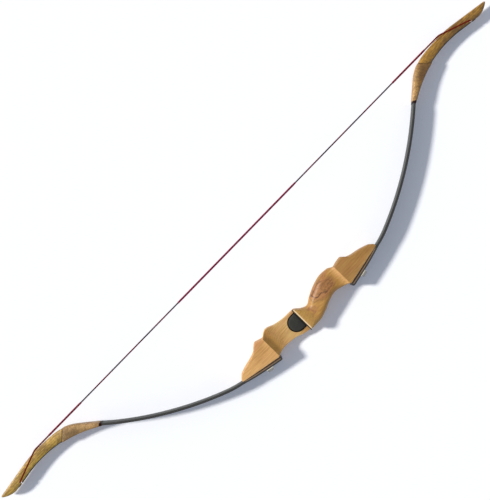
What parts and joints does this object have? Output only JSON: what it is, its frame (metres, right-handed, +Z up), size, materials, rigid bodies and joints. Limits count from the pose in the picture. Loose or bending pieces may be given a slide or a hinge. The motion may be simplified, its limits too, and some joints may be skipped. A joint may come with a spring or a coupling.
{
  "type": "recurve bow",
  "caption": "Strung take-down recurve bow with a wooden riser, black-faced limbs that bend on a draw, stiff wooden recurved tips and a looped string.",
  "frame": {"origin": "on the flat right side of the riser, where the bow lies, under the middle of the riser's length; the braced string lies 213 mm behind it", "axes": "+X along the bow to the upper limb tip, +Y towards the target, +Z up, out of the side the sight window is cut in"},
  "size_m": [1.4362, 0.2416, 0.048],
  "materials": {
    "riser_wood": "clear gloss",
    "strike_leather": "matt",
    "rug_felt": "matt",
    "bush_brass": "plain",
    "pin_steel": "plain",
    "butt_black": "gloss",
    "limb_glass": "clear gloss over dark fibre",
    "limb_core": "dark stained",
    "wedge_wood": "satin",
    "tip_wood": "clear gloss",
    "wrap_leather": "satin",
    "band_thread": "waxed",
    "bolt_nickel": "satin nickel",
    "string_cord": "waxed",
    "serving_thread": "waxed"
  },
  "bodies": {
    "riser_assembly": {"riser": "riser_wood", "strike_plate": "strike_leather", "shelf_rug": "rug_felt", "limb_bushes": "bush_brass", "locating_pins": "pin_steel", "butt_caps": "butt_black", "upper_root_belly_glass": "limb_glass", "upper_root_wedge": "wedge_wood", "upper_root_core": "limb_core", "upper_root_back_glass": "limb_glass", "lower_root_belly_glass": "limb_glass", "lower_root_wedge": "wedge_wood", "lower_root_core": "limb_core", "lower_root_back_glass": "limb_glass"},
    "upper_limb_inner": {"upper_inner_belly_glass": "limb_glass", "upper_inner_core": "limb_core", "upper_inner_back_glass": "limb_glass"},
    "upper_limb_mid": {"upper_mid_belly_glass": "limb_glass", "upper_mid_core": "limb_core", "upper_mid_back_glass": "limb_glass"},
    "upper_limb_outer": {"upper_outer_belly_glass": "limb_glass", "upper_outer_core": "limb_core", "upper_tip_back_glass": "limb_glass", "upper_tip": "tip_wood", "upper_wrap": "wrap_leather", "upper_thread_bands": "band_thread"},
    "upper_string_end": {"upper_loop": "serving_thread"},
    "upper_string_half": {"upper_string": "string_cord", "upper_end_serving": "serving_thread", "upper_centre_serving": "serving_thread"},
    "upper_limb_washer": {"upper_washer": "bolt_nickel"},
    "upper_limb_bolt": {"upper_bolt": "bolt_nickel"},
    "lower_limb_inner": {"lower_inner_belly_glass": "limb_glass", "lower_inner_core": "limb_core", "lower_inner_back_glass": "limb_glass"},
    "lower_limb_mid": {"lower_mid_belly_glass": "limb_glass", "lower_mid_core": "limb_core", "lower_mid_back_glass": "limb_glass"},
    "lower_limb_outer": {"lower_outer_belly_glass": "limb_glass", "lower_outer_core": "limb_core", "lower_tip_back_glass": "limb_glass", "lower_tip": "tip_wood", "lower_wrap": "wrap_leather", "lower_thread_bands": "band_thread"},
    "lower_string_end": {"lower_loop": "serving_thread"},
    "lower_string_half": {"lower_string": "string_cord", "lower_end_serving": "serving_thread", "lower_centre_serving": "serving_thread"},
    "lower_limb_washer": {"lower_washer": "bolt_nickel"},
    "lower_limb_bolt": {"lower_bolt": "bolt_nickel"}
  },
  "joints": [
    {"name": "upper_flex_inner", "type": "hinge", "parent": "riser_assembly", "child": "upper_limb_inner", "pos_m": [0.24335, -0.01718, 0.023], "axis": [0, 0, -1], "range_deg": [0, 9.28], "stiffness_Nm_per_rad": 530},
    {"name": "upper_flex_mid", "type": "hinge", "parent": "upper_limb_inner", "child": "upper_limb_mid", "pos_m": [0.33264, -0.06055, 0.023], "axis": [0, 0, -1], "range_deg": [0, 9.28], "stiffness_Nm_per_rad": 530},
    {"name": "upper_flex_outer", "type": "hinge", "parent": "upper_limb_mid", "child": "upper_limb_outer", "pos_m": [0.4157, -0.11491, 0.023], "axis": [0, 0, -1], "range_deg": [0, 9.28], "stiffness_Nm_per_rad": 530},
    {"name": "upper_loop_turn", "type": "hinge", "parent": "upper_limb_outer", "child": "upper_string_end", "pos_m": [0.66879, -0.18788, 0.023], "axis": [0, 0, 1], "range_deg": [0, 39.3]},
    {"name": "upper_string_lift", "type": "hinge", "parent": "upper_string_end", "child": "upper_string_half", "pos_m": [0.60017, -0.21257, 0.023], "axis": [0, 0, 1], "range_deg": [0, 19.8]},
    {"name": "upper_washer_slide", "type": "slide", "parent": "riser_assembly", "child": "upper_limb_washer", "axis": [0.1908, 0.9816, 0], "range_m": [0, 0.015]},
    {"name": "upper_bolt_turn", "type": "hinge", "parent": "upper_limb_washer", "child": "upper_limb_bolt", "pos_m": [0.13661, 0.00904, 0.023], "axis": [0.1908, 0.9816, 0], "range_deg": [0, 4324]},
    {"name": "lower_flex_inner", "type": "hinge", "parent": "riser_assembly", "child": "lower_limb_inner", "pos_m": [-0.24335, -0.01718, 0.023], "axis": [0, 0, 1], "range_deg": [0, 9.28], "stiffness_Nm_per_rad": 530},
    {"name": "lower_flex_mid", "type": "hinge", "parent": "lower_limb_inner", "child": "lower_limb_mid", "pos_m": [-0.33264, -0.06055, 0.023], "axis": [0, 0, 1], "range_deg": [0, 9.28], "stiffness_Nm_per_rad": 530},
    {"name": "lower_flex_outer", "type": "hinge", "parent": "lower_limb_mid", "child": "lower_limb_outer", "pos_m": [-0.4157, -0.11491, 0.023], "axis": [0, 0, 1], "range_deg": [0, 9.28], "stiffness_Nm_per_rad": 530},
    {"name": "lower_loop_turn", "type": "hinge", "parent": "lower_limb_outer", "child": "lower_string_end", "pos_m": [-0.66879, -0.18788, 0.023], "axis": [0, 0, -1], "range_deg": [0, 39.3]},
    {"name": "lower_string_lift", "type": "hinge", "parent": "lower_string_end", "child": "lower_string_half", "pos_m": [-0.60017, -0.21257, 0.023], "axis": [0, 0, -1], "range_deg": [0, 19.8]},
    {"name": "lower_washer_slide", "type": "slide", "parent": "riser_assembly", "child": "lower_limb_washer", "axis": [-0.1908, 0.9816, 0], "range_m": [0, 0.015]},
    {"name": "lower_bolt_turn", "type": "hinge", "parent": "lower_limb_washer", "child": "lower_limb_bolt", "pos_m": [-0.13661, 0.00904, 0.023], "axis": [-0.1908, 0.9816, 0], "range_deg": [0, 4324]}
  ],
  "couplings": [
    {"joint": "upper_flex_mid", "follows": "upper_flex_inner", "ratio": 1},
    {"joint": "upper_flex_outer", "follows": "upper_flex_inner", "ratio": 1},
    {"joint": "upper_loop_turn", "follows": "upper_flex_inner", "ratio": 4.2336},
    {"joint": "upper_string_lift", "follows": "upper_flex_inner", "ratio": 2.1303},
    {"joint": "upper_bolt_turn", "follows": "upper_washer_slide", "rad_per_m": 5026.5},
    {"joint": "lower_flex_inner", "follows": "upper_flex_inner", "ratio": 1},
    {"joint": "lower_flex_mid", "follows": "upper_flex_inner", "ratio": 1},
    {"joint": "lower_flex_outer", "follows": "upper_flex_inner", "ratio": 1},
    {"joint": "lower_loop_turn", "follows": "upper_flex_inner", "ratio": 4.2336},
    {"joint": "lower_string_lift", "follows": "upper_flex_inner", "ratio": 2.1303},
    {"joint": "lower_bolt_turn", "follows": "lower_washer_slide", "rad_per_m": 5026.5}
  ]
}
